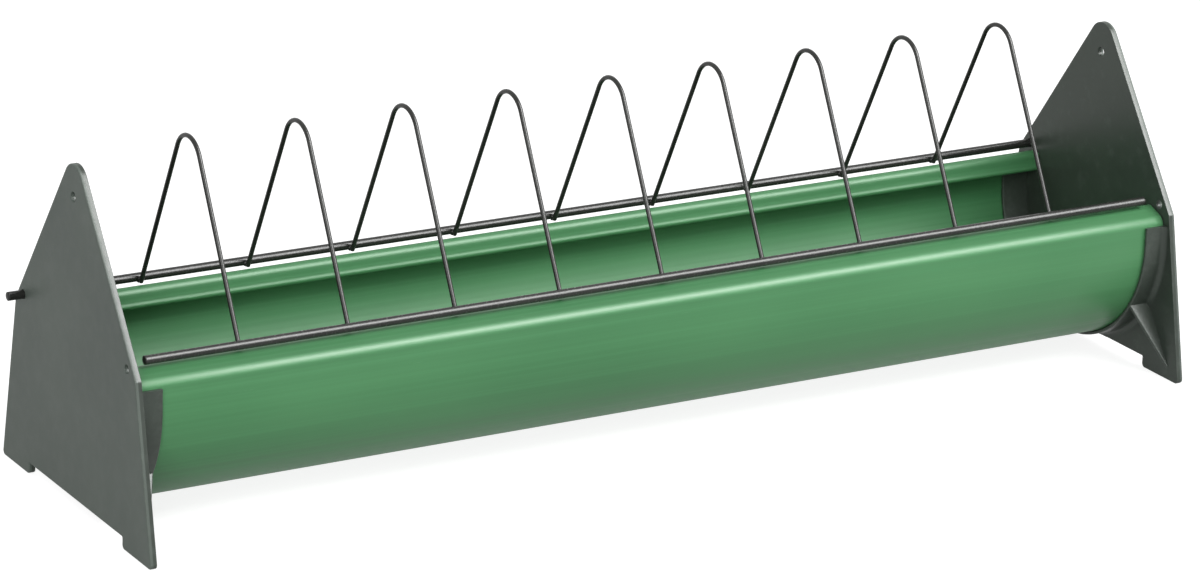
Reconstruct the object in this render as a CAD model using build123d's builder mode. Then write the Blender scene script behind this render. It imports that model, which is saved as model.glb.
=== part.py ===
from build123d import *
import math
import os

# Feed trough for small poultry: a long trough held between two moulded end plates, with
# a swinging wire grille over it. Millimetres, +Z up. X runs along the trough and -Y is
# the front. The origin is on the ground, in the middle of the footprint.

# Trough: an extruded channel of constant wall, its lips folded inwards and down
trough_r = 54.5
trough_bottom_z = 6.3
wall = 2.0
side_h = 10.4
lip_w = 11.7
lip_rise = 4.2
skirt_h = 7.2
skirt_lean = 0.8
shoulder_bend_r = 3.2
crest_bend_r = 2.0
bead_r = 1.4

# End plates: one moulding, used at both ends
plate_gap = 497.0
plate_t = 3.0
shoulder_margin = 1.7
shoulder_rise = 13.6
shoulder_corner_r = 2.0
apex_rise = 79.6
apex_r = 9.0
foot_spread = 14.8
foot_w = 27.2
foot_h = 5.0
foot_bottom_r = 2.0
edge_break = 0.5
apex_hole_r = 2.2
apex_hole_drop = 20.0

# Cradle on the inner face of each plate: two bands with the trough's end between them
cradle_w = 10.0
cradle_rise = 8.2
inner_cradle_w = 13.0
inner_cradle_rise = 5.2
cradle_t = 1.5
cradle_root_r = 2.5
trough_fit = 0.2
gusset_t = 1.6
gusset_top_drop = 30.2
gusset_foot_inset = 8.2

# Wire grille: two straight rails and a row of bent hoops. The round section of a hoop's
# wire is drawn with flats.
rail_r = 1.9
rail_fit = 0.1
rail_end_chamfer = 0.4
rear_rail_inset = 4.4
rear_rail_lift = 2.1
rear_rail_stub = 7.3
front_rail_inset = 7.7
front_rail_lift = 3.4
front_rail_end_gap = 5.8
wire_r = 1.05
wire_flat_count = 10
weld_depth = 0.15
hoop_count = 9
hoop_pitch = 49.2
hoop_shift = -2.7
hoop_rise = 88.0
hoop_peak_y = 3.0
hoop_bend_r = 11.5
rear_leg_tail = 0.6
front_leg_tail = 1.2

# Heights and widths of the trough's section
trough_mid_z = trough_bottom_z + trough_r
side_top_z = trough_mid_z + side_h
lip_crest_y = trough_r - lip_w
lip_crest_z = side_top_z + lip_rise
wall_mid_r = trough_r - wall / 2

# The cradle's two bands lie a fit away from the trough's wall, outside and inside
outer_band_in = trough_r + trough_fit
outer_band_out = outer_band_in + cradle_t
outer_band_mid = (outer_band_in + outer_band_out) / 2
inner_band_out = trough_r - wall - trough_fit
inner_band_in = inner_band_out - cradle_t
cradle_top_z = trough_mid_z + cradle_rise
inner_cradle_top_z = trough_mid_z + inner_cradle_rise

# Outline of the plate, from the ground to the apex
inner_x = plate_gap / 2
outer_x = inner_x + plate_t
shoulder_y = outer_band_out + shoulder_margin
shoulder_z = trough_mid_z + shoulder_rise
apex_z = shoulder_z + apex_rise
foot_half_w = shoulder_y + foot_spread
foot_inner_y = foot_half_w - foot_w
edge_slope = foot_spread / shoulder_z
edge_y_at_cradle = shoulder_y + (shoulder_z - cradle_top_z) * edge_slope
root_r = min(cradle_root_r, 0.9 * (edge_y_at_cradle - outer_band_out))

# Gussets, from under the outer band down to the feet
gusset_top_z = trough_mid_z - gusset_top_drop
gusset_top_y = math.sqrt(outer_band_mid**2 - gusset_top_drop**2)
gusset_foot_y = foot_half_w - gusset_foot_inset
gusset_length = math.hypot(gusset_foot_y - gusset_top_y, gusset_top_z - foot_h)

# Rails over the two lips, and the point where a hoop's two legs would meet
rail_hole_r = rail_r + rail_fit
rear_rail_y = trough_r - rear_rail_inset
rear_rail_z = lip_crest_z + rear_rail_lift
front_rail_y = -(trough_r - front_rail_inset)
front_rail_z = lip_crest_z + front_rail_lift
hoop_peak_z = rear_rail_z + hoop_rise
weld_reach = rail_r + wire_r - weld_depth

os.makedirs("parts", exist_ok=True)


def lip_line(side):
    """Middle line of one side wall with its lip: up, inwards over the crest, down the skirt."""
    return FilletPolyline(
        (side * wall_mid_r, trough_mid_z),
        (side * wall_mid_r, side_top_z),
        (side * lip_crest_y, lip_crest_z),
        (side * (lip_crest_y - skirt_lean), lip_crest_z - skirt_h),
        radius=[shoulder_bend_r, crest_bend_r],
    )


# The trough: a half-round floor, upright sides, and lips that end in a bead
with BuildPart() as trough:
    with BuildSketch(Plane.YZ.offset(trough_fit - inner_x)):
        with BuildLine():
            CenterArc((0, trough_mid_z), wall_mid_r, 180, 180)
            lip_line(1)
            lip_line(-1)
        trace(line_width=wall)
        skirt_end_y = lip_crest_y - skirt_lean
        skirt_end_z = lip_crest_z - skirt_h
        with Locations((skirt_end_y, skirt_end_z), (-skirt_end_y, skirt_end_z)):
            Circle(bead_r)
    extrude(amount=plate_gap - 2 * trough_fit)


def cradle_band(inner_radius, outer_radius, top_z):
    """A U-shaped band between two radii round the trough's section, flat at top and bottom."""
    with BuildSketch(Plane.YZ.offset(inner_x)) as band:
        with Locations((0, trough_mid_z)):
            Circle(outer_radius)
            Rectangle(2 * outer_radius, top_z - trough_mid_z, align=(Align.CENTER, Align.MIN))
            Circle(inner_radius, mode=Mode.SUBTRACT)
            Rectangle(
                2 * inner_radius,
                outer_radius,
                align=(Align.CENTER, Align.MIN),
                mode=Mode.SUBTRACT,
            )
        with Locations((0, top_z)):
            Rectangle(
                2 * outer_radius,
                outer_radius,
                align=(Align.CENTER, Align.MIN),
                mode=Mode.SUBTRACT,
            )
        with Locations((0, foot_h)):
            Rectangle(
                2 * outer_radius,
                outer_radius,
                align=(Align.CENTER, Align.MAX),
                mode=Mode.SUBTRACT,
            )
    return band.sketch


def gusset_plane(side):
    """A plane with its X towards the trough and its Y down the gusset, from cradle to foot."""
    down = Vector(0, side * (gusset_foot_y - gusset_top_y), foot_h - gusset_top_z)
    inwards = Vector(-1, 0, 0)
    origin = (inner_x, side * gusset_top_y, gusset_top_z)
    return Plane(origin, x_dir=inwards, z_dir=inwards.cross(down))


# Right end plate: the flat shield with its feet, the double cradle and two gussets
with BuildPart() as end_plate_right:
    with BuildSketch(Plane.YZ.offset(inner_x)) as shield:
        with BuildLine():
            Polyline(
                (foot_inner_y, 0),
                (foot_half_w, 0),
                (shoulder_y, shoulder_z),
                (0, apex_z),
                (-shoulder_y, shoulder_z),
                (-foot_half_w, 0),
                (-foot_inner_y, 0),
                (-foot_inner_y, foot_h),
                (foot_inner_y, foot_h),
                close=True,
            )
        make_face()
        fillet(shield.vertices().group_by(Axis.Y)[-2], shoulder_corner_r)
        fillet(shield.vertices().group_by(Axis.Y)[-1], apex_r)
        fillet(shield.vertices().group_by(Axis.Y)[0], foot_bottom_r)
    extrude(amount=plate_t)
    outer_face = end_plate_right.faces().sort_by(Axis.X)[-1]
    chamfer(outer_face.outer_wire().edges(), edge_break)
    # The outer band flows into the plate round a concave root
    extrude(cradle_band(outer_band_in, outer_band_out, cradle_top_z), -cradle_w)
    band_edges = end_plate_right.edges(Select.LAST).filter_by_position(Axis.X, inner_x, inner_x)
    band_arcs = band_edges.filter_by(GeomType.CIRCLE)
    fillet(band_arcs.group_by(SortBy.RADIUS)[-1], root_r)
    extrude(cradle_band(inner_band_in, inner_band_out, inner_cradle_top_z), -inner_cradle_w)
    for side in (-1, 1):
        with BuildSketch(gusset_plane(side)):
            with BuildLine():
                Polyline(
                    (-plate_t / 2, 0),
                    (cradle_w, 0),
                    (0, gusset_length),
                    (-plate_t / 2, gusset_length),
                    close=True,
                )
            make_face()
        extrude(amount=gusset_t / 2, both=True)
    with BuildSketch(Plane.YZ.offset(inner_x)):
        with Locations((0, apex_z - apex_hole_drop)):
            Circle(apex_hole_r)
        with Locations((rear_rail_y, rear_rail_z), (-rear_rail_y, rear_rail_z)):
            Circle(rail_hole_r)
    extrude(amount=plate_t, mode=Mode.SUBTRACT)

# The left plate is the same moulding, facing the other way
with BuildPart() as end_plate_left:
    mirror(end_plate_right.part, about=Plane.YZ)


def rail(y, z, half_length):
    """A straight round rod along X with its two ends broken."""
    with BuildPart() as rod:
        with BuildSketch(Plane.YZ.offset(-half_length)):
            with Locations((y, z)):
                Circle(rail_r)
        extrude(amount=2 * half_length)
        chamfer(rod.edges().filter_by(GeomType.CIRCLE), rail_end_chamfer)
    return rod


# The rear rail turns in the rear holes of the plates; the front one ends short of them
rear_rail = rail(rear_rail_y, rear_rail_z, outer_x + rear_rail_stub)
front_rail = rail(front_rail_y, front_rail_z, inner_x - front_rail_end_gap)


def leg_end(rail_y, rail_z, tail):
    """Lower end of a leg that runs from the peak, touches the rail's inner side and goes on."""
    to_rail = Vector(rail_y - hoop_peak_y, rail_z - hoop_peak_z)
    lean = math.degrees(math.asin(weld_reach / to_rail.length))
    inward = -1 if rail_y > hoop_peak_y else 1
    along_leg = to_rail.normalized().rotate(Axis.Z, inward * lean)
    leg_length = math.sqrt(to_rail.length**2 - weld_reach**2) + tail
    end = Vector(hoop_peak_y, hoop_peak_z) + along_leg * leg_length
    return end.X, end.Y


def hoop(x):
    """A bent wire in the plane across the trough at x, its legs welded inside both rails."""
    with BuildPart() as wire:
        with BuildLine(Plane.YZ.offset(x)) as bend:
            FilletPolyline(
                leg_end(rear_rail_y, rear_rail_z, rear_leg_tail),
                (hoop_peak_y, hoop_peak_z),
                leg_end(front_rail_y, front_rail_z, front_leg_tail),
                radius=hoop_bend_r,
            )
        with BuildSketch(bend.line ^ 0):
            RegularPolygon(wire_r, wire_flat_count)
        sweep()
    return wire


pieces = {
    "trough": trough,
    "end_plate_left": end_plate_left,
    "end_plate_right": end_plate_right,
    "rear_rail": rear_rail,
    "front_rail": front_rail,
}

# The hoops stand at one pitch, a little to the left of the rails' middle
first_hoop_x = hoop_shift - hoop_pitch * (hoop_count - 1) / 2
for number in range(hoop_count):
    pieces[f"hoop_{number + 1}"] = hoop(first_hoop_x + number * hoop_pitch)

for name, piece in pieces.items():
    piece.part.label = name
    export_step(piece.part, f"parts/{name}.step")
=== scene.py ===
# %% [markdown]
# The real object is a feed trough for small poultry: a long green channel held between two
# dark end plates, under a wire grille that swings back over its rear rail. This lesson
# dresses a finished construction model. It loads that model as a fixed frame, sets up a
# camera and a soft studio, and then gives each piece its surface and its finish. The
# construction could be shown as it is, but its round wires are drawn with flats and its
# edges are sharp, so every piece is made again here, at the same place and size. Lengths
# are in metres, as in Blender, and small ones are written as so many MM.

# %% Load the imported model
import math

import bpy
import numpy as np
from mathutils import Matrix, Vector
from mathutils.geometry import tessellate_polygon


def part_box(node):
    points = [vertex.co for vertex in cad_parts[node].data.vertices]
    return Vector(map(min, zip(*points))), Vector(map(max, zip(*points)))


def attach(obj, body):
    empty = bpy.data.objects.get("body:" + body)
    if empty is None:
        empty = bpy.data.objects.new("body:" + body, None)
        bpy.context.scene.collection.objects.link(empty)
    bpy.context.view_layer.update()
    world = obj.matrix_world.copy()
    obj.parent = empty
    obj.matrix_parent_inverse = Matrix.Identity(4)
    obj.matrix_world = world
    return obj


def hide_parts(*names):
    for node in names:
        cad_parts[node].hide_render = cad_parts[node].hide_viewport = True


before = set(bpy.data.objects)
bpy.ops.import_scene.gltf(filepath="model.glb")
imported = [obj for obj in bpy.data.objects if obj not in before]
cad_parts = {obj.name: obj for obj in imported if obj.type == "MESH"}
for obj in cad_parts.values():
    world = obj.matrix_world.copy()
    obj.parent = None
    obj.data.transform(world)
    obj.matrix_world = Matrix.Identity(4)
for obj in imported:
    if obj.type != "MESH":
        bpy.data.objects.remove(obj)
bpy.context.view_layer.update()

MM = 0.001

# %% [markdown]
# The photograph was taken with a long lens, from the left and from above the front. A
# camera can be aimed by hand until the picture looks right, or its place can be worked out
# from points whose real position is known. Here it was worked out, and is written as a
# place, three angles and a lens. The lens isn't shifted, so the camera can also go round
# the object.

# %% Camera
camera_place = Vector((-1.0382, -1.7459, 0.7550))
camera_azimuth = math.radians(30.573)
camera_elevation = math.radians(18.957)
camera_roll = math.radians(1.783)
lens_mm = 150.95
sensor_mm = 36.0

forward = Vector(
    (
        math.sin(camera_azimuth) * math.cos(camera_elevation),
        math.cos(camera_azimuth) * math.cos(camera_elevation),
        -math.sin(camera_elevation),
    )
)
level_right = Vector((math.cos(camera_azimuth), -math.sin(camera_azimuth), 0))
level_up = level_right.cross(forward)
camera_right = level_right * math.cos(camera_roll) + level_up * math.sin(camera_roll)
camera_up = level_up * math.cos(camera_roll) - level_right * math.sin(camera_roll)

camera_data = bpy.data.cameras.new("camera")
camera_data.lens = lens_mm
camera_data.sensor_width = sensor_mm
camera_data.clip_start = 0.05
camera_data.clip_end = 60
camera = bpy.data.objects.new("camera", camera_data)
turn = Matrix((camera_right, camera_up, -forward)).transposed()
camera.matrix_world = Matrix.Translation(camera_place) @ turn.to_4x4()
bpy.context.scene.collection.objects.link(camera)
bpy.context.scene.camera = camera
bpy.context.scene.view_settings.view_transform = "Standard"
print("camera at", tuple(round(v, 3) for v in camera_place), "lens", lens_mm)

# %% [markdown]
# The studio is plain: a soft key light at the right, above the front, a fill light beside
# the camera, a weak one behind, and an even pale surround. A large card behind the key
# light shows only in reflections, and draws the pale lines along the lips and the wires. A
# bright surround alone would hide the form; lamps alone would leave hard black shadows. The
# surround is white where it is seen or mirrored, and dimmer where it lights the object.

# %% Studio light
def softbox(name, place, aim, width, height, watts):
    """A soft rectangular lamp at place, turned so that it shines towards aim."""
    data = bpy.data.lights.new(name, "AREA")
    data.shape = "RECTANGLE"
    data.size = width
    data.size_y = height
    data.energy = watts
    lamp = bpy.data.objects.new(name, data)
    lamp.location = place
    lamp.rotation_mode = "QUATERNION"
    lamp.rotation_quaternion = (Vector(aim) - Vector(place)).to_track_quat("-Z", "Y")
    lamp.visible_camera = False
    bpy.context.scene.collection.objects.link(lamp)
    return lamp


middle = (0, 0, 0.06)
softbox("key_light", (0.83, -1.0, 1.2), aim=(0.83, 0, 0.06), width=1.3, height=0.5, watts=21.5)
softbox("fill_light", (-1.25, -1.3, 0.72), aim=middle, width=0.9, height=0.9, watts=13.6)
back_light = softbox(
    "back_light", (-0.4, 1.5, 1.1), aim=middle, width=1.4, height=0.8, watts=9
)
back_light.visible_glossy = False
highlight_card = softbox(
    "highlight_card", (0.86, -1.05, 1.26), aim=(0.86, 0, 0.06), width=1.7, height=1.8, watts=90
)
highlight_card.visible_diffuse = False
print("the studio has three lamps and one card")

# %% Pale surround
surround_for_light = 0.4
world = bpy.data.worlds.new("pale_surround")
world.use_nodes = True
bpy.context.scene.world = world
world_nodes = world.node_tree.nodes
world_links = world.node_tree.links
dim = world_nodes["Background"]
dim.inputs["Color"].default_value = (1, 1, 1, 1)
dim.inputs["Strength"].default_value = surround_for_light
white = world_nodes.new("ShaderNodeBackground")
white.inputs["Color"].default_value = (1, 1, 1, 1)
white.inputs["Strength"].default_value = 1
choice = world_nodes.new("ShaderNodeMixShader")
world_links.new(dim.outputs[0], choice.inputs[1])
world_links.new(white.outputs[0], choice.inputs[2])
world_links.new(choice.outputs[0], world_nodes["World Output"].inputs["Surface"])


def seen_or_mirrored(nodes, links, mirrored=1.0):
    """1 for a camera ray or a transmitted ray, mirrored for a glossy ray, 0 for the rest."""
    path = nodes.new("ShaderNodeLightPath")
    glossy = nodes.new("ShaderNodeMath")
    glossy.operation = "MULTIPLY"
    glossy.inputs[1].default_value = mirrored
    links.new(path.outputs["Is Glossy Ray"], glossy.inputs[0])
    first = nodes.new("ShaderNodeMath")
    first.operation = "MAXIMUM"
    links.new(path.outputs["Is Camera Ray"], first.inputs[0])
    links.new(glossy.outputs[0], first.inputs[1])
    second = nodes.new("ShaderNodeMath")
    second.operation = "MAXIMUM"
    links.new(first.outputs[0], second.inputs[0])
    links.new(path.outputs["Is Transmission Ray"], second.inputs[1])
    return second.outputs[0]


world_links.new(seen_or_mirrored(world_nodes, world_links), choice.inputs[0])
print("surround lights the object at", surround_for_light)

# %% [markdown]
# The floor is a pale sheet that runs out of the picture on all sides. It is lit like the
# object, so it keeps the soft shadow, and plain white is added where it is seen, so that it
# meets the white surround without a line. Half as much is added where it is mirrored, or
# the underside would look pale.

# %% Floor
floor_reach = 20.0
floor_grey = 0.4
floor_white = 0.85
floor_mirrored = 0.5

floor_mesh = bpy.data.meshes.new("floor")
floor_mesh.from_pydata(
    [(-floor_reach, -floor_reach, 0), (floor_reach, -floor_reach, 0),
     (floor_reach, floor_reach, 0), (-floor_reach, floor_reach, 0)],
    [],
    [(0, 1, 2, 3)],
)
floor = bpy.data.objects.new("floor", floor_mesh)
bpy.context.scene.collection.objects.link(floor)
floor_material = bpy.data.materials.new("pale_floor")
floor_material.use_nodes = True
floor_nodes = floor_material.node_tree.nodes
floor_links = floor_material.node_tree.links
floor_nodes.remove(floor_nodes["Principled BSDF"])
floor_paint = floor_nodes.new("ShaderNodeBsdfDiffuse")
floor_paint.inputs["Color"].default_value = (floor_grey, floor_grey, floor_grey, 1)
floor_glow = floor_nodes.new("ShaderNodeEmission")
floor_share = floor_nodes.new("ShaderNodeMath")
floor_share.operation = "MULTIPLY"
floor_share.inputs[1].default_value = floor_white
floor_seen = seen_or_mirrored(floor_nodes, floor_links, floor_mirrored)
floor_links.new(floor_seen, floor_share.inputs[0])
floor_links.new(floor_share.outputs[0], floor_glow.inputs["Strength"])
floor_sum = floor_nodes.new("ShaderNodeAddShader")
floor_links.new(floor_paint.outputs[0], floor_sum.inputs[0])
floor_links.new(floor_glow.outputs[0], floor_sum.inputs[1])
floor_links.new(floor_sum.outputs[0], floor_nodes["Material Output"].inputs["Surface"])
floor_mesh.materials.append(floor_material)
print("floor reaches", floor_reach, "m each way")

# %% [markdown]
# A finish is made of layers: the colour of the stuff itself, slow changes of that colour,
# fine marks from how it was made, rubbed places, and the same marks again in the gloss and
# in tiny heights. These few helpers keep each layer to one line. Every pattern is measured
# on the object, in metres, so it stays where it is from any side.

# %% Helpers for finishes
def linear(red, green, blue):
    """A colour read as 0 to 255 on a screen, as the linear values that a shader takes."""
    screen = np.array([red, green, blue]) / 255
    straight = np.where(screen <= 0.04045, screen / 12.92, ((screen + 0.055) / 1.055) ** 2.4)
    return (*straight.tolist(), 1)


class Finish:
    """A material with its shader, and short ways to add layers to it."""

    def __init__(self, name):
        self.material = bpy.data.materials.new(name)
        self.material.use_nodes = True
        self.nodes = self.material.node_tree.nodes
        self.links = self.material.node_tree.links
        self.shader = self.nodes["Principled BSDF"]
        self.place = self.nodes.new("ShaderNodeTexCoord").outputs["Object"]

    def noise(self, per_metre, detail=3.0, roughness=0.5):
        """Soft random values, 0 to 1, with so many patches per metre along X, Y and Z."""
        mapping = self.nodes.new("ShaderNodeMapping")
        mapping.inputs["Scale"].default_value = per_metre
        self.links.new(self.place, mapping.inputs["Vector"])
        pattern = self.nodes.new("ShaderNodeTexNoise")
        pattern.inputs["Scale"].default_value = 1
        pattern.inputs["Detail"].default_value = detail
        pattern.inputs["Roughness"].default_value = roughness
        self.links.new(mapping.outputs[0], pattern.inputs["Vector"])
        return pattern.outputs[0]

    def spread(self, value, low, high, to_low=0.0, to_high=1.0):
        """Values from low to high become values from to_low to to_high, and stop there."""
        node = self.nodes.new("ShaderNodeMapRange")
        node.interpolation_type = "SMOOTHSTEP"
        settings = (("From Min", low), ("From Max", high), ("To Min", to_low), ("To Max", to_high))
        for label, number in settings:
            node.inputs[label].default_value = number
        self.links.new(value, node.inputs["Value"])
        return node.outputs[0]

    def combine(self, operation, first, second):
        """A sum, product or other step between two values, each a socket or a number."""
        node = self.nodes.new("ShaderNodeMath")
        node.operation = operation
        for slot, value in enumerate((first, second)):
            if isinstance(value, (int, float)):
                node.inputs[slot].default_value = value
            else:
                self.links.new(value, node.inputs[slot])
        return node.outputs[0]

    def blend(self, share, under, over):
        """The colour under, covered by the colour over where share is 1."""
        node = self.nodes.new("ShaderNodeMix")
        node.data_type = "RGBA"
        self.links.new(share, node.inputs[0])
        for slot, colour in ((6, under), (7, over)):
            if isinstance(colour, tuple):
                node.inputs[slot].default_value = colour
            else:
                self.links.new(colour, node.inputs[slot])
        return node.outputs[2]

    def relief(self, height, depth_m, below=None):
        """Tiny heights as bumps of the given depth, on top of the bumps below."""
        node = self.nodes.new("ShaderNodeBump")
        node.inputs["Strength"].default_value = 1
        node.inputs["Distance"].default_value = depth_m
        self.links.new(height, node.inputs["Height"])
        if below is not None:
            self.links.new(below, node.inputs["Normal"])
        return node.outputs[0]

    def attribute(self, name):
        """A value that the mesh carries at its points."""
        node = self.nodes.new("ShaderNodeAttribute")
        node.attribute_name = name
        return node.outputs["Fac"]

    def along(self, axis):
        """The distance from the middle of the object along one axis, never negative."""
        node = self.nodes.new("ShaderNodeSeparateXYZ")
        self.links.new(self.place, node.inputs[0])
        return self.combine("ABSOLUTE", node.outputs[axis], 0.0)

    def wire_up(self, colour, roughness, normal):
        """Joins the finished colour, roughness and bumps to the shader."""
        self.links.new(colour, self.shader.inputs["Base Color"])
        self.links.new(roughness, self.shader.inputs["Roughness"])
        self.links.new(normal, self.shader.inputs["Normal"])


print("helpers for finishes are ready")

# %% [markdown]
# The channel is extruded: the melt is pulled through a die, which leaves faint straight
# lines along the whole length, and the colour drifts a little. A noise that is the same in
# every direction would make spots; here it is stretched along X, so that it makes lines.
# The wall is also never quite even, which bends the reflections slowly.

# %% Green extruded plastic
green = Finish("green_extruded_plastic")
drift = green.noise((6, 16, 16), 2)
die_lines = green.noise((0.9, 520, 520), 4, 0.6)
broad_lines = green.noise((1.4, 90, 90), 3)
scuffs = green.noise((60, 700, 700), 5, 0.65)
grain = green.noise((1800, 1800, 1800), 2)

green_body = green.blend(green.spread(drift, 0.3, 0.7), linear(72, 130, 84), linear(82, 141, 93))
green_lined = green.blend(
    green.spread(die_lines, 0.35, 0.75, 0.0, 0.35), green_body, linear(88, 154, 103)
)
green_banded = green.blend(
    green.spread(broad_lines, 0.45, 0.8, 0.0, 0.3), green_lined, linear(62, 124, 78)
)
green_rubbed = green.blend(
    green.spread(scuffs, 0.66, 0.78, 0.0, 0.3), green_banded, linear(120, 176, 132)
)
green_gloss = green.combine(
    "ADD",
    green.spread(die_lines, 0.3, 0.7, 0.34, 0.42),
    green.spread(scuffs, 0.6, 0.8, 0.0, 0.14),
)
waves = green.relief(green.noise((3, 22, 22), 1), 0.35 * MM)
lines_relief = green.relief(die_lines, 0.03 * MM, waves)
green_relief = green.relief(grain, 0.006 * MM, lines_relief)
green.wire_up(green_rubbed, green_gloss, green_relief)
green.shader.inputs["Specular IOR Level"].default_value = 0.35
print("green plastic has", len(green.nodes), "nodes")

# %% [markdown]
# The end plates are moulded in dark grey-green plastic. Their outer side is grained and duller,
# and the inner side is smooth and a little glossy. Their colours also carry painted light and
# shade: the outer side is painted paler, as if lit, and the inner side darker, as if in shade.
# The two meet at the parting line, halfway through the thickness. Corners are rubbed pale: the
# mesh carries how near an edge each point is, in "wear", and noise breaks that up.

# %% Grey moulded plastic
grey = Finish("grey_moulded_plastic")
parting_line_x = 250.0 * MM
parting_line_w = 0.4 * MM
outer_side = grey.spread(grey.along("X"), parting_line_x, parting_line_x + parting_line_w)
flow = grey.noise((14, 14, 14), 3)
mottle = grey.noise((160, 160, 160), 4, 0.6)
mould_grain = grey.noise((2600, 2600, 2600), 2, 0.6)
rubs = grey.noise((420, 420, 420), 4, 0.65)

# Painted shade and painted light: the inner side's colours are painted darker and the outer side's
# paler, for how the lamps fall on the two sides.
inner_side_painted_shade = grey.blend(grey.spread(flow, 0.3, 0.7), linear(50, 58, 52), linear(58, 66, 59))
outer_side_painted_light = grey.blend(grey.spread(flow, 0.3, 0.7), linear(76, 85, 79), linear(86, 95, 88))
grey_painted_light_and_shade = grey.blend(outer_side, inner_side_painted_shade, outer_side_painted_light)
grey_mottled = grey.blend(
    grey.spread(mottle, 0.5, 0.8, 0.0, 0.2), grey_painted_light_and_shade, linear(98, 107, 100)
)
worn = grey.combine("MULTIPLY", grey.attribute("wear"), grey.spread(rubs, 0.35, 0.7, 0.25, 1.0))
grey_rubbed = grey.blend(grey.combine("MULTIPLY", worn, 0.4), grey_mottled, linear(118, 127, 120))
grey_gloss = grey.combine(
    "ADD",
    grey.spread(outer_side, 0.0, 1.0, 0.34, 0.47),
    grey.spread(mottle, 0.3, 0.7, -0.03, 0.04),
)
grey_swell = grey.relief(grey.noise((30, 30, 30), 1), 0.12 * MM)
grain_depth = grey.combine("MULTIPLY", mould_grain, grey.spread(outer_side, 0.0, 1.0, 0.25, 1.0))
grey_relief = grey.relief(grain_depth, 0.05 * MM, grey_swell)
grey.wire_up(grey_rubbed, grey_gloss, grey_relief)
grey.shader.inputs["Specular IOR Level"].default_value = 0.4
print("grey plastic has", len(grey.nodes), "nodes")

# %% [markdown]
# The grille is welded from steel wire and dipped in a dark coat. Such a coat has a soft
# orange-peel surface, is a little thicker in some places, and chips first at the cut ends
# and at the welds. The chips take both their colour and their metal shine from one mask.

# %% Coated wire
coat = Finish("coated_wire")
coat_drift = coat.noise((40, 40, 40), 3)
coat_peel = coat.noise((950, 950, 950), 2)
coat_specks = coat.noise((2400, 2400, 2400), 2, 0.6)
chip_noise = coat.noise((900, 900, 900), 4, 0.7)

coat_body = coat.blend(coat.spread(coat_drift, 0.3, 0.7), linear(33, 34, 32), linear(43, 44, 41))
coat_specked = coat.blend(
    coat.spread(coat_specks, 0.62, 0.75, 0.0, 0.5), coat_body, linear(84, 82, 77)
)
chips = coat.spread(
    coat.combine("MULTIPLY", coat.attribute("wear"), chip_noise), 0.50, 0.56, 0.0, 1.0
)
coat_chipped = coat.blend(chips, coat_specked, linear(140, 138, 132))
coat_gloss = coat.combine(
    "ADD", coat.spread(coat_peel, 0.3, 0.7, 0.20, 0.28), coat.combine("MULTIPLY", chips, 0.1)
)
coat_relief = coat.relief(coat_peel, 0.04 * MM, coat.relief(coat_drift, 0.15 * MM))
coat.wire_up(coat_chipped, coat_gloss, coat_relief)
coat.links.new(coat.combine("MULTIPLY", chips, 0.8), coat.shader.inputs["Metallic"])
coat.shader.inputs["Specular IOR Level"].default_value = 0.35
print("coated wire has", len(coat.nodes), "nodes")

# %% [markdown]
# Every new piece is a grid of points: a closed line, carried through a row of places. Two
# ends close it. numpy works out all the points at once, and the faces come from the same
# grid numbers. A piece could also be put together from ready-made cylinders, but then its
# bends, beads and rounded ends would have to be joined by hand.

# %% Helpers for surfaces
def grid_faces(rows, columns):
    """Four-sided faces between each row and the next; the last column joins the first."""
    number = np.arange(rows * columns).reshape(rows, columns)
    here = number[:-1]
    beyond = number[1:]
    corners = (here, np.roll(here, -1, 1), np.roll(beyond, -1, 1), beyond)
    return np.stack(corners, -1).reshape(-1, 4).tolist()


def carried(rings, wear=0.0):
    """A closed shell from rings, an array of rows by points by 3, with flat ends."""
    rows, columns = rings.shape[:2]
    first = list(range(columns))[::-1]
    last = list(range((rows - 1) * columns, rows * columns))
    faces = grid_faces(rows, columns) + [first, last]
    worn = np.broadcast_to(np.asarray(wear, float), (rows, columns))
    return rings.reshape(-1, 3), faces, worn.reshape(-1)


def together(shells):
    """Several shells as one: the points in a row, and the faces renumbered to match."""
    counts = [len(points) for points, faces, worn in shells]
    starts = np.concatenate([[0], np.cumsum(counts)[:-1]]).tolist()
    faces = [
        [corner + start for corner in face]
        for start, shell in zip(starts, shells)
        for face in shell[1]
    ]
    points = np.concatenate([shell[0] for shell in shells])
    return points, faces, np.concatenate([shell[2] for shell in shells])


def facing_out(shell):
    """The same shell with its faces turned outwards: its volume has to come out positive."""
    points, faces, worn = shell
    corners = np.array([(f[0], f[i], f[i + 1]) for f in faces for i in range(1, len(f) - 1)])
    a, b, c = points[corners[:, 0]], points[corners[:, 1]], points[corners[:, 2]]
    volume = np.einsum("ij,ij->i", a, np.cross(b, c)).sum() / 6
    if volume < 0:
        faces = [face[::-1] for face in faces]
    return points, faces, worn


print("shells are points, faces and wear")


# %% Mesh objects
def make_piece(name, shell, finish, body, node=None, sharp_degrees=35):
    """A mesh object from a shell, with its finish, its body and the CAD node it stands for."""
    points, faces, worn = shell
    mesh = bpy.data.meshes.new(name)
    mesh.from_pydata(points.tolist(), [], faces)
    attribute = mesh.attributes.new("wear", "FLOAT", "POINT")
    attribute.data.foreach_set("value", np.ascontiguousarray(worn, dtype=np.float32))
    mesh.shade_smooth()
    mesh.set_sharp_from_angle(angle=math.radians(sharp_degrees))
    mesh.materials.append(finish.material)
    piece = bpy.data.objects.new(name, mesh)
    bpy.context.scene.collection.objects.link(piece)
    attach(piece, body)
    if node:
        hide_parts(node)
    print(name, len(points), "points", len(faces), "faces")
    return piece


# %% Arcs and rounded corners
def arc(centre, radius, start_degrees, end_degrees, count):
    """Points on a circle, from one angle to another, as an array of count by 2."""
    angle = np.radians(np.linspace(start_degrees, end_degrees, count))
    return np.asarray(centre) + radius * np.stack([np.cos(angle), np.sin(angle)], -1)


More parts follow.
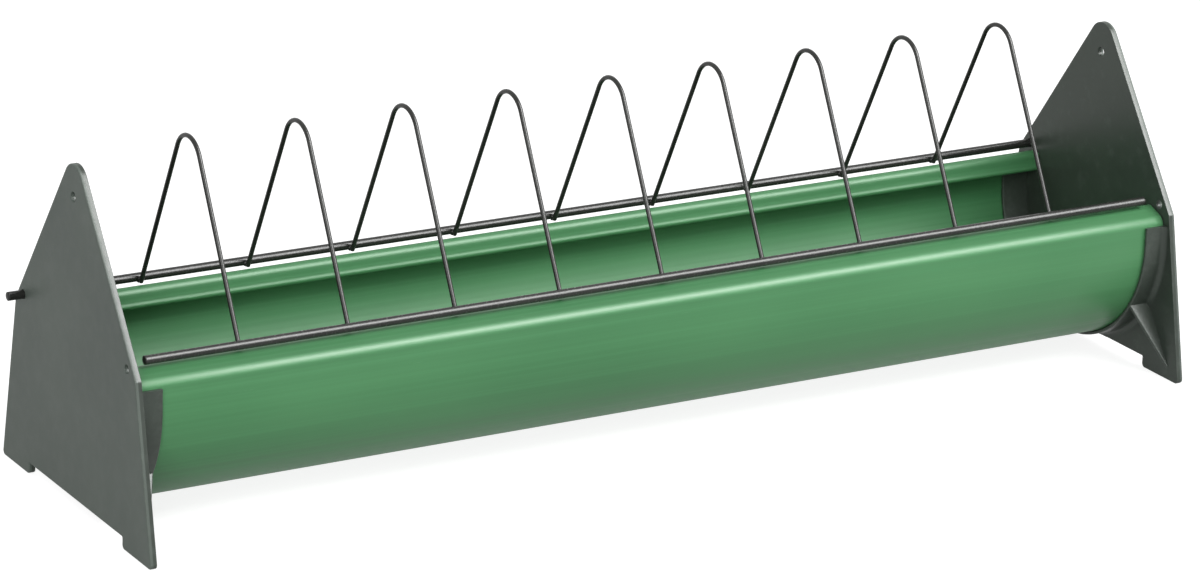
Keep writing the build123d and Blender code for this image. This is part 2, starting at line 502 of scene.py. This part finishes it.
def rounded_corner(before, corner, after, radius, count):
    """An arc that touches the two lines which meet in a corner."""
    before, corner, after = (np.asarray(p, float) for p in (before, corner, after))
    towards = (before - corner) / np.linalg.norm(before - corner)
    away = (after - corner) / np.linalg.norm(after - corner)
    half = math.acos(np.clip(towards @ away, -1, 1)) / 2
    middle = (towards + away) / np.linalg.norm(towards + away)
    centre = corner + middle * radius / math.sin(half)
    across = math.pi / 2 - half
    sweep = np.linspace(-across, across, count)
    side = np.array([-middle[1], middle[0]])
    side = side * np.sign(side @ away)
    return centre + radius * (-np.cos(sweep)[:, None] * middle + np.sin(sweep)[:, None] * side)


print("arcs and corners are ready")

# %% [markdown]
# The channel's section is one wall of even thickness: a half circle, upright sides, a round
# shoulder, a crest that folds inwards, and a short skirt that ends in a bead. It is worked
# out from its middle line: each point is moved out and in by half the wall, and the half
# wall swells smoothly towards the skirt's end. The section is then carried along X, and
# drawn in a little at the two cut ends, where the saw's burr has been taken off.

# %% Section of the channel
trough_low, trough_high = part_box("trough")
trough_r = trough_high.y
trough_mid_z = trough_low.z + trough_r
wall = 2.0 * MM
side_h = 10.4 * MM
lip_w = 11.7 * MM
lip_rise = 4.2 * MM
skirt_lean = 0.8 * MM
skirt_h = 7.2 * MM
shoulder_bend_r = 3.2 * MM
crest_bend_r = 2.0 * MM
bead_r = 1.4 * MM
bead_blend = 0.9 * MM
bend_points = 40
bowl_points = 181
wall_mid_r = trough_r - wall / 2
side_top_z = trough_mid_z + side_h
crest_y = trough_r - lip_w
crest_z = side_top_z + lip_rise
skirt_y = crest_y - skirt_lean
skirt_z = crest_z - skirt_h


def channel_middle_line(step):
    """The wall's middle line from the left skirt end to the right one, evenly divided."""
    skirt, crest = (skirt_y, skirt_z), (crest_y, crest_z)
    shoulder, hip = (wall_mid_r, side_top_z), (wall_mid_r, trough_mid_z)
    right = np.concatenate(
        [
            rounded_corner(hip, shoulder, crest, shoulder_bend_r, bend_points),
            rounded_corner(shoulder, crest, skirt, crest_bend_r, bend_points),
            [skirt],
        ]
    )
    left = right[::-1] * (-1, 1)
    bowl = arc((0, trough_mid_z), wall_mid_r, 180, 360, bowl_points)
    line = np.concatenate([left, bowl, right])
    run = np.concatenate([[0], np.cumsum(np.linalg.norm(np.diff(line, axis=0), axis=1))])
    even = np.linspace(0, run[-1], int(run[-1] / step) + 1)
    return np.stack([np.interp(even, run, line[:, i]) for i in (0, 1)], -1), even


def channel_section(drawn_in, step=0.45 * MM, cap_count=9):
    """The closed outline of the wall in Y and Z, drawn in all round by a given amount."""
    line, run = channel_middle_line(step)
    tangent = np.gradient(line, run, axis=0)
    tangent = tangent / np.linalg.norm(tangent, axis=1)[:, None]
    normal = np.stack([tangent[:, 1], -tangent[:, 0]], -1)
    from_end = np.minimum(run, run[-1] - run)
    half = wall / 2 + (bead_r - wall / 2) * np.exp(-((from_end / bead_blend) ** 2)) - drawn_in
    outside = line + normal * half[:, None]
    inside = (line - normal * half[:, None])[::-1]
    sweep = np.linspace(0, math.pi, 2 * cap_count + 2)[1:-1, None]
    right_cap = line[-1] + half[-1] * (np.cos(sweep) * normal[-1] + np.sin(sweep) * tangent[-1])
    left_cap = line[0] - half[0] * (np.cos(sweep) * normal[0] + np.sin(sweep) * tangent[0])
    return np.concatenate([left_cap[cap_count:], outside, right_cap, inside, left_cap[:cap_count]])


section = channel_section(0.0)
print("section has", len(section), "points, lowest", round(section[:, 1].min() / MM, 2), "mm")

# %% Channel carried along X
saw_edge_r = 0.3 * MM
edge_rows = 4
edge_turn = np.linspace(0, math.pi / 2, edge_rows)
edge_in = saw_edge_r * (1 - np.sin(edge_turn))
edge_along = saw_edge_r * (1 - np.cos(edge_turn))
half_length = trough_high.x
left_places = -half_length + edge_along
right_places = half_length - edge_along[::-1]
middle_rows = 9
middle_places = np.linspace(left_places[-1], right_places[0], middle_rows)[1:-1]
channel_x = np.concatenate([left_places, middle_places, right_places])
channel_in = np.concatenate([edge_in, np.zeros(len(middle_places)), edge_in[::-1]])


def channel_shell():
    """The section carried along X; its two cut ends are closed across the wall, in a ladder."""
    sections = np.stack([channel_section(drawn_in) for drawn_in in channel_in])
    rows, columns = sections.shape[:2]
    places = np.broadcast_to(channel_x[:, None, None], (rows, columns, 1))
    points = np.concatenate([places, sections], -1).reshape(-1, 3)
    rung = np.arange(columns // 2 - 1)
    across = np.stack([rung, rung + 1, columns - 2 - rung, columns - 1 - rung], -1)
    ends = across[:, ::-1].tolist() + (across + (rows - 1) * columns).tolist()
    return points, grid_faces(rows, columns) + ends, np.zeros(len(points))


make_piece(
    "trough_channel", facing_out(channel_shell()), green, "stand", "trough"
)

# %% [markdown]
# A wire is a ring carried along a line. The two rails are straight; a hoop goes up one leg,
# round one bend and down the other, and is worked out from the same three points as in the
# construction. The wire there has ten flats. The round one has the same middle line, and is
# as thick as the other is across its flats, so it stays inside it. The ends are domed,
# because a dipped coat rounds off the cut. The ring's two directions are X and the one at
# right angles to the wire, so the tube never twists.

# %% Helper for wires
wire_sharp_degrees = 50
dome_rings = 6
dome_start = 0.12


def wire_shell(line, tangent, side, radius, sides=20):
    """Rings of the given radius at each point of line, spanned by side and its normal."""
    turn = np.linspace(0, 2 * math.pi, sides, endpoint=False)
    out = np.cross(tangent, side)
    ring = (
        np.cos(turn)[None, :, None] * np.asarray(side, float)[None, None, :]
        + np.sin(turn)[None, :, None] * out[:, None, :]
    )
    return line[:, None, :] + radius[:, None, None] * ring


def domed_run(length, radius, depth, middle):
    """Distances along a wire and its radius there: a dome at each end, even in between."""
    angle = np.linspace(dome_start, math.pi / 2, dome_rings)
    rise = depth * (1 - np.cos(angle))
    width = radius * np.sin(angle)
    run = np.concatenate([rise, middle, (length - rise)[::-1]])
    return run, np.concatenate([width, np.full(len(middle), radius), width[::-1]])


def end_wear(run, length, reach):
    """1 at both cut ends, fading to 0 within reach."""
    near = np.minimum(run, length - run)
    return np.clip(1 - near / reach, 0, 1)


# %% [markdown]
# The coat is rubbed at the cut ends of a wire, and where the rear rail turns in the holes of
# the end plates. Rubbing is 1 at its worst and 0 where the coat is whole, and it fades over
# a few millimetres.

# %% Rails
rail_dome = 0.5 * MM
rail_rings = 41
rail_end_wear = 0.75
rail_end_reach = 5 * MM
hole_wear = 0.9
hole_reach = 2.5 * MM
plate_t = 3.0 * MM


def make_rail(name, node):
    """A straight rod in the place of its CAD node."""
    low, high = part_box(node)
    radius = (high.y - low.y) / 2
    length = high.x - low.x
    between = np.linspace(2 * rail_dome, length - 2 * rail_dome, rail_rings)
    run, widths = domed_run(length, radius, rail_dome, between)
    y, z = (low.y + high.y) / 2, (low.z + high.z) / 2
    line = np.stack([low.x + run, np.full_like(run, y), np.full_like(run, z)], -1)
    tangent = np.broadcast_to(np.array([1.0, 0.0, 0.0]), line.shape)
    wear = rail_end_wear * end_wear(run, length, rail_end_reach)
    plate_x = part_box("end_plate_right")[1].x - plate_t / 2
    turning = np.exp(-(((np.abs(line[:, 0]) - plate_x) / hole_reach) ** 2))
    if high.x > plate_x:
        wear = np.maximum(wear, hole_wear * turning)
    rings = wire_shell(line, tangent, (0.0, 1.0, 0.0), widths, sides=28)
    shell = facing_out(carried(rings, wear[:, None]))
    return make_piece(name, shell, coat, "grille", node, wire_sharp_degrees)


make_rail("rear_rod", "rear_rail")
make_rail("front_rod", "front_rail")

# %% Line of a hoop
peak = np.array([3.0, 165.5]) * MM
hoop_bend_r = 11.5 * MM
rail_r = 1.9 * MM
weld_depth = 0.15 * MM
rear_tail = 0.6 * MM
front_tail = 1.2 * MM
hoop_names = sorted(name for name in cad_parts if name.startswith("hoop_"))
first_low, first_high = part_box(hoop_names[0])
wire_r = (first_high.x - first_low.x) / 2
wire_corner_r = 1.05 * MM
weld_reach = rail_r + wire_corner_r - weld_depth
print("a hoop wire is", round(2 * wire_r / MM, 3), "mm thick")


def rail_axis(node):
    """Y and Z of a rail's middle line."""
    low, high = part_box(node)
    return np.array([(low.y + high.y) / 2, (low.z + high.z) / 2])


def leg_end(axis, tail):
    """Where a leg ends that comes down from the peak, touches the rail inside, and goes on."""
    to_rail = axis - peak
    distance = np.linalg.norm(to_rail)
    lean = math.asin(weld_reach / distance) * (-1 if axis[0] > peak[0] else 1)
    cos, sin = math.cos(lean), math.sin(lean)
    along = np.array([[cos, -sin], [sin, cos]]) @ (to_rail / distance)
    return peak + along * (math.sqrt(distance**2 - weld_reach**2) + tail)


rear_end = leg_end(rail_axis("rear_rail"), rear_tail)
front_end = leg_end(rail_axis("front_rail"), front_tail)
up_leg = (peak - rear_end) / np.linalg.norm(peak - rear_end)
down_leg = (front_end - peak) / np.linalg.norm(front_end - peak)
bend = math.acos(up_leg @ down_leg)
cut_off = hoop_bend_r * math.tan(bend / 2)
rear_leg = np.linalg.norm(peak - rear_end) - cut_off
front_leg = np.linalg.norm(front_end - peak) - cut_off
inwards = np.array([up_leg[1], -up_leg[0]])
inwards = inwards * np.sign(inwards @ down_leg)
hoop_length = rear_leg + hoop_bend_r * bend + front_leg
print("a hoop takes", round(hoop_length / MM, 1), "mm of wire, bent by", round(math.degrees(bend)))


def hoop_line(run):
    """Places and directions along a hoop: leg, arc and leg, each cut off where it ends."""
    angle = np.clip((run - rear_leg) / hoop_bend_r, 0, bend)[:, None]
    on_rear = np.minimum(run, rear_leg)[:, None] * up_leg
    on_arc = hoop_bend_r * (np.sin(angle) * up_leg + (1 - np.cos(angle)) * inwards)
    on_front = np.maximum(run - rear_leg - hoop_bend_r * bend, 0)[:, None] * down_leg
    return rear_end + on_rear + on_arc + on_front, np.cos(angle) * up_leg + np.sin(angle) * inwards


# %% Hoops
hoop_dome = 0.45 * MM
hoop_end_wear = 0.85
hoop_end_reach = 6 * MM
leg_rings = 12
bend_rings = 30
legs_and_bend = np.concatenate(
    [
        np.linspace(2 * hoop_dome, rear_leg, leg_rings),
        np.linspace(rear_leg, rear_leg + hoop_bend_r * bend, bend_rings)[1:-1],
        np.linspace(hoop_length - front_leg, hoop_length - 2 * hoop_dome, leg_rings),
    ]
)
run, widths = domed_run(hoop_length, wire_r, hoop_dome, legs_and_bend)
flat, heading = hoop_line(run)
tangent = np.column_stack([np.zeros(len(run)), heading])
hoop_wear = hoop_end_wear * end_wear(run, hoop_length, hoop_end_reach)

for number, node in enumerate(hoop_names, 1):
    low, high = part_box(node)
    line = np.column_stack([np.full(len(run), (low.x + high.x) / 2), flat])
    rings = wire_shell(line, tangent, (1.0, 0.0, 0.0), widths)
    shell = facing_out(carried(rings, hoop_wear[:, None]))
    wire_name = f"hoop_wire_{number}"
    make_piece(wire_name, shell, coat, "grille", node, wire_sharp_degrees)

# %% [markdown]
# Each leg is spot-welded to the inner side of its rail, and the coat fills the corner
# between the two wires. That is a small cushion-shaped bead, centred where the wires touch:
# long across the joint, thin through it, and a little uneven. One shape, repeated at every
# hoop with its own seed, is enough, and each rail's row of beads is one piece.

# %% One weld bead
bead_across = 1.75 * MM
bead_along = 1.5 * MM
bead_through = 0.95 * MM
bead_wear = 0.55
bead_pole_gap = 0.02
first_swell = 0.05
second_swell = 0.04


def bead_shell(centre, along, through, seed):
    """A squashed ball: about half as thick as it is wide, and swollen by two slow waves."""
    rows, columns = 13, 24
    polar = np.linspace(bead_pole_gap, math.pi - bead_pole_gap, rows)[:, None]
    turn = np.linspace(0, 2 * math.pi, columns, endpoint=False)[None, :]
    phase = np.random.default_rng(seed).uniform(0, 2 * math.pi, 3)
    swell = 1 + first_swell * np.sin(2 * turn + phase[0]) * np.sin(polar)
    swell = swell + second_swell * np.sin(3 * turn + phase[1]) * np.sin(2 * polar + phase[2])
    local = np.stack(
        [
            bead_across * swell * np.sin(polar) * np.cos(turn),
            bead_along * swell * np.sin(polar) * np.sin(turn),
            bead_through * swell * np.cos(polar) * np.ones_like(turn),
        ],
        -1,
    )
    axes = np.array([(1.0, 0.0, 0.0), along, through])
    return carried(centre + local @ axes, bead_wear)


print("a bead is", round(2 * bead_across / MM, 1), "mm across")


# %% Rows of weld beads
def make_weld_row(name, node, direction, seed):
    """The beads between one rail and the legs of all hoops."""
    axis = rail_axis(node)
    foot = peak + direction * ((axis - peak) @ direction)
    through = (foot - axis) / np.linalg.norm(foot - axis)
    touch = axis + through * (rail_r - weld_depth / 2)
    shells = []
    for number, hoop in enumerate(hoop_names):
        low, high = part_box(hoop)
        centre = np.array([(low.x + high.x) / 2, *touch])
        bead = bead_shell(centre, (0, *direction), (0, *through), seed + number)
        shells.append(facing_out(bead))
    make_piece(name, together(shells), coat, "grille", sharp_degrees=60)


make_weld_row("rear_welds", "rear_rail", -up_leg, seed=10)
make_weld_row("front_welds", "front_rail", down_leg, seed=40)

# %% [markdown]
# An end plate is one moulding: a flat shield with feet, two U-shaped bands on its inner
# side, which hold the channel's wall between them, and two gussets below. The shield's
# outline is carried round its own edge, from the inner face over the rounded rim to the
# outer face, and what is left open inside is filled flat around the holes.

# %% Sizes of an end plate
face_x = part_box("end_plate_right")[1].x - plate_t
shoulder_y = 57.9 * MM
shoulder_z = 74.4 * MM
apex_z = 154.0 * MM
foot_spread = 14.8 * MM
foot_w = 27.2 * MM
foot_h = 5.0 * MM
foot_half_w = shoulder_y + foot_spread
foot_inner_y = foot_half_w - foot_w
rim_flat = 1.15 * MM
outer_rim_r = 0.6 * MM
inner_rim_r = 0.3 * MM
foot_root_r = 0.3 * MM
foot_tip_r = 2.0 * MM
shoulder_r = 2.0 * MM
apex_r = 9.0 * MM
corner_points = 15
rim_rings = 6
inner_rim_wear = 0.8
print("an end plate is", round(2 * foot_half_w / MM, 1), "mm wide at the feet")


# %% Outline and rim of the shield
def shield_outline():
    """The shield's outline in Y and Z, counterclockwise: feet, shoulders and rounded apex."""
    right = [
        (foot_inner_y, foot_h, foot_root_r),
        (foot_inner_y, 0.0, foot_tip_r),
        (foot_half_w, 0.0, foot_tip_r),
        (shoulder_y, shoulder_z, shoulder_r),
    ]
    left = [(-y, z, r) for y, z, r in right[::-1]]
    corners = right + [(0.0, apex_z, apex_r)] + left
    points = [c[:2] for c in corners]
    total = len(corners)
    arcs = [
        rounded_corner(
            points[i - 1], points[i], points[(i + 1) % total], corners[i][2], corner_points
        )
        for i in range(total)
    ]
    return np.concatenate(arcs)


def moved_in(outline, amount):
    """The outline moved inwards: each point goes along the sum of its two sides' normals."""
    before = outline - np.roll(outline, 1, 0)
    after = np.roll(outline, -1, 0) - outline
    sides = []
    for step in (before, after):
        unit = step / np.linalg.norm(step, axis=1)[:, None]
        sides.append(np.stack([-unit[:, 1], unit[:, 0]], -1))
    share = 1 + np.einsum("ij,ij->i", *sides)
    return outline + amount * (sides[0] + sides[1]) / share[:, None]


def rim_profile(inner_r, outer_r, flat):
    """Steps from the inner face over the rim to the outer face: how far in, place, wear."""
    turn = np.linspace(0, math.pi / 2, rim_rings)
    rise = np.concatenate([[flat], inner_r * (1 - np.sin(turn))])
    depth = np.concatenate([[0], inner_r * (1 - np.cos(turn))])
    back = np.concatenate([outer_r * (1 - np.sin(turn[::-1])), [flat]])
    top = np.concatenate([plate_t - outer_r * (1 - np.cos(turn[::-1])), [plate_t]])
    round_edge = np.sin(2 * turn)
    worn = np.concatenate([[0], round_edge * inner_rim_wear, np.sin(2 * turn[::-1]), [0]])
    return np.concatenate([rise, back]), np.concatenate([depth, top]), worn


outline = shield_outline()
print("shield outline has", len(outline), "points, top at", round(outline[:, 1].max() / MM, 2))

# %% Edges of the shield and its holes
apex_hole = (0.0, 134.0 * MM, 2.2 * MM)
rail_hole_y = 50.1 * MM
rail_hole_z = 77.5 * MM
rail_hole_r = 2.0 * MM
hole_list = (
    apex_hole,
    (rail_hole_y, rail_hole_z, rail_hole_r),
    (-rail_hole_y, rail_hole_z, rail_hole_r),
)
inner_hole_edge_r = 0.2 * MM
outer_hole_edge_r = 0.3 * MM
hole_edge_flat = 0.8 * MM
hole_points = 48


def edge_band(ring_at, steps, places, wears):
    """Rows of a ring drawn in step by step, each at its place through the plate."""
    rows = [
        np.column_stack([np.full(len(ring_at(0.0)), face_x + place), ring_at(step)])
        for step, place in zip(steps, places)
    ]
    points = np.stack(rows)
    count, columns = points.shape[:2]
    worn = np.repeat(wears, columns)
    return points.reshape(-1, 3), grid_faces(count, columns), worn


def hole_ring(y, z, radius):
    """A function that gives the hole's ring, widened by a given amount, turned clockwise."""
    return lambda widened: arc(
        (y, z), radius + widened, 360, 360 / hole_points, hole_points
    )


print("the shield has", len(hole_list), "holes")


# %% Shield
def shield_shell():
    """Rim, hole edges and the two flat faces of the shield as one closed shell."""
    rings = [lambda amount: moved_in(outline, amount)]
    profiles = [rim_profile(inner_rim_r, outer_rim_r, rim_flat)]
    for y, z, radius in hole_list:
        rings.append(hole_ring(y, z, radius))
        profiles.append(rim_profile(inner_hole_edge_r, outer_hole_edge_r, hole_edge_flat))
    bands = [edge_band(ring, *profile) for ring, profile in zip(rings, profiles)]
    points, faces, worn = together(bands)
    counts = [len(band[0]) for band in bands]
    starts = np.concatenate([[0], np.cumsum(counts)[:-1]])
    columns = [len(ring(0.0)) for ring in rings]
    for is_outer in (False, True):
        loops = [
            start + (count - width if is_outer else 0) + np.arange(width)
            for start, count, width in zip(starts, counts, columns)
        ]
        flat = np.concatenate(loops)
        outlines = [[Vector((0, *points[i, 1:])) for i in loop] for loop in loops]
        for triangle in tessellate_polygon(outlines):
            a, b, c = (points[flat[i], 1:] for i in triangle)
            area = (b[0] - a[0]) * (c[1] - a[1]) - (b[1] - a[1]) * (c[0] - a[0])
            corners = [int(flat[i]) for i in triangle]
            faces.append(corners if (area > 0) == is_outer else corners[::-1])
    return points, faces, worn


shield = facing_out(shield_shell())
print("shield has", len(shield[0]), "points")

# %% [markdown]
# A cradle band is a thin wall that stands out from the shield along a U. Its section is a
# tongue with a rounded tip; on the outer band's outer side a concave root flows into the
# shield. The section is carried along the U, and cut off level with the shield's lower
# edge by limiting how far out it may reach there. Points that the limit would lay on each
# other are kept a hair apart by the stagger, so that no face is without area.

# %% Cradle bands
tongue_embed = 0.5 * MM
band_tip_r = 0.45 * MM
band_tip_wear = 0.5
band_wear_reach = 1.2 * MM
stagger = 0.002 * MM
tip_points = 5
root_points = 9
band_side_rings = 7
band_bowl_rings = 91


def tongue_section(low_r, high_r, width, root_r):
    """Radii and distances from the inner face, round a tongue from its outer root and back."""
    tip = np.radians(np.linspace(0, 90, tip_points))
    root = np.radians(np.linspace(0, 90, root_points))
    root_reach = high_r + root_r * (1 - np.sin(root))
    root_depth = root_r * (1 - np.cos(root))
    outer_tip = high_r - band_tip_r * (1 - np.cos(tip))
    outer_depth = width - band_tip_r * (1 - np.sin(tip))
    inner_tip = low_r + band_tip_r * (1 - np.sin(tip))
    inner_depth = width - band_tip_r * (1 - np.cos(tip))
    radii = np.concatenate([[high_r + root_r], root_reach, outer_tip, inner_tip, [low_r]])
    depth = np.concatenate([[-tongue_embed], root_depth, outer_depth, inner_depth, [-tongue_embed]])
    return radii, depth


def band_shell(low_r, high_r, width, root_r, top_z):
    """The tongue carried along a U: down one side, round the half circle, up the other."""
    radii, depth = tongue_section(low_r, high_r, width, root_r)
    side_z = np.linspace(top_z, trough_mid_z, band_side_rings)[:-1]
    angle = np.radians(np.linspace(180, 360, band_bowl_rings))
    out = np.concatenate(
        [
            np.tile([-1.0, 0.0], (len(side_z), 1)),
            np.stack([np.cos(angle), np.sin(angle)], -1),
            np.tile([1.0, 0.0], (len(side_z), 1)),
        ]
    )
    middle_z = np.concatenate([side_z, np.full(len(angle), trough_mid_z), side_z[::-1]])
    room = (trough_mid_z - foot_h) / np.maximum(-out[:, 1], 1e-6)
    reach = np.minimum(radii[None, :], room[:, None] - stagger * np.arange(len(radii))[None, :])
    y = out[:, 0, None] * reach
    z = middle_z[:, None] + out[:, 1, None] * reach
    x = np.broadcast_to(face_x - depth[None, :], y.shape)
    near_tip = np.clip((depth - width + band_wear_reach) / band_wear_reach, 0, 1)
    wear = np.broadcast_to(band_tip_wear * near_tip[None, :], y.shape)
    return carried(np.stack([x, y, z], -1), wear)


# %% Both bands of a cradle
trough_fit = 0.2 * MM
band_t = 1.5 * MM
outer_low = trough_r + trough_fit
outer_high = outer_low + band_t
outer_w = 10.0 * MM
outer_root_r = 2.5 * MM
outer_top_z = trough_mid_z + 8.2 * MM
inner_high = trough_r - wall - trough_fit
inner_low = inner_high - band_t
inner_w = 13.0 * MM
inner_root_r = 0.3 * MM
inner_top_z = trough_mid_z + 5.2 * MM
outer_band = facing_out(band_shell(outer_low, outer_high, outer_w, outer_root_r, outer_top_z))
inner_band = facing_out(band_shell(inner_low, inner_high, inner_w, inner_root_r, inner_top_z))
print("bands have", len(outer_band[0]) + len(inner_band[0]), "points")

# %% [markdown]
# Below the cradle two thin fins run out to the feet and keep the shield from bending. Each
# is a three-sided piece: as wide as the outer band at its top and running out to nothing at
# the foot. It is a narrow section again, carried down a straight line while it shrinks.

# %% Gussets
gusset_t = 1.6 * MM
gusset_top_drop = 30.2 * MM
gusset_foot_inset = 8.2 * MM
gusset_tip_r = 0.5 * MM
gusset_wear = 0.5
gusset_wear_reach = 1.0 * MM
gusset_rows = 24
gusset_overrun = 0.03
gusset_top_z = trough_mid_z - gusset_top_drop
band_middle = (outer_low + outer_high) / 2
gusset_top_y = math.sqrt(band_middle**2 - gusset_top_drop**2)
gusset_foot_y = foot_half_w - gusset_foot_inset


def gusset_shell(side):
    """A fin from under the outer band down to the foot, narrowing to nothing as it goes."""
    share = np.linspace(-gusset_overrun, 1, gusset_rows)[:, None]
    down = np.array([gusset_foot_y - gusset_top_y, foot_h - gusset_top_z])
    length = np.linalg.norm(down)
    along = down / length
    normal = np.array([-along[1], along[0]])
    width = outer_w * (1 - np.clip(share, 0, 1))
    tip_r = np.minimum(gusset_tip_r, 0.4 * width + 0.02 * MM)
    turn = np.radians(np.linspace(0, 90, tip_points))[None, :]
    half = gusset_t / 2
    one_side = half - tip_r * (1 - np.cos(turn))
    tip_depth = width - tip_r * (1 - np.sin(turn))
    root = np.full((gusset_rows, 1), half)
    sunk = np.full((gusset_rows, 1), -tongue_embed)
    across = np.concatenate([root, one_side, -one_side[:, ::-1], -root], 1)
    depth = np.concatenate([sunk, tip_depth, tip_depth[:, ::-1], sunk], 1)
    middle = np.array([gusset_top_y, gusset_top_z]) + share * down
    y = side * (middle[:, :1] + across * normal[0])
    z = middle[:, 1:] + across * normal[1]
    wear = gusset_wear * np.clip(1 - (width - depth) / gusset_wear_reach, 0, 1)
    return carried(np.stack([face_x - depth, y, z], -1), wear)


gussets = [facing_out(gusset_shell(side)) for side in (-1, 1)]
print("gussets have", sum(len(g[0]) for g in gussets), "points")

# %% [markdown]
# The two plates come from one mould, so the left one is the right one mirrored, not a copy
# turned round by hand. A mould has no knife edges either: a narrow bevel rounds every edge
# that is still sharp, and catches a thin line of light.

# %% Both end plates
edge_rounding = 0.25 * MM
right_shell = together([shield, outer_band, inner_band, *gussets])


def mirrored(shell):
    """The same moulding facing the other way: X is turned round, and so is every face."""
    points, faces, worn = shell
    return points * (-1, 1, 1), [face[::-1] for face in faces], worn


for name, shell in (("right", right_shell), ("left", mirrored(right_shell))):
    plate = make_piece(
        f"{name}_plate_moulding", shell, grey, "stand", f"end_plate_{name}"
    )
    rounding = plate.modifiers.new("small_rounding", "BEVEL")
    rounding.width = edge_rounding
    rounding.segments = 2
    rounding.limit_method = "ANGLE"
    rounding.angle_limit = math.radians(60)
    rounding.harden_normals = True
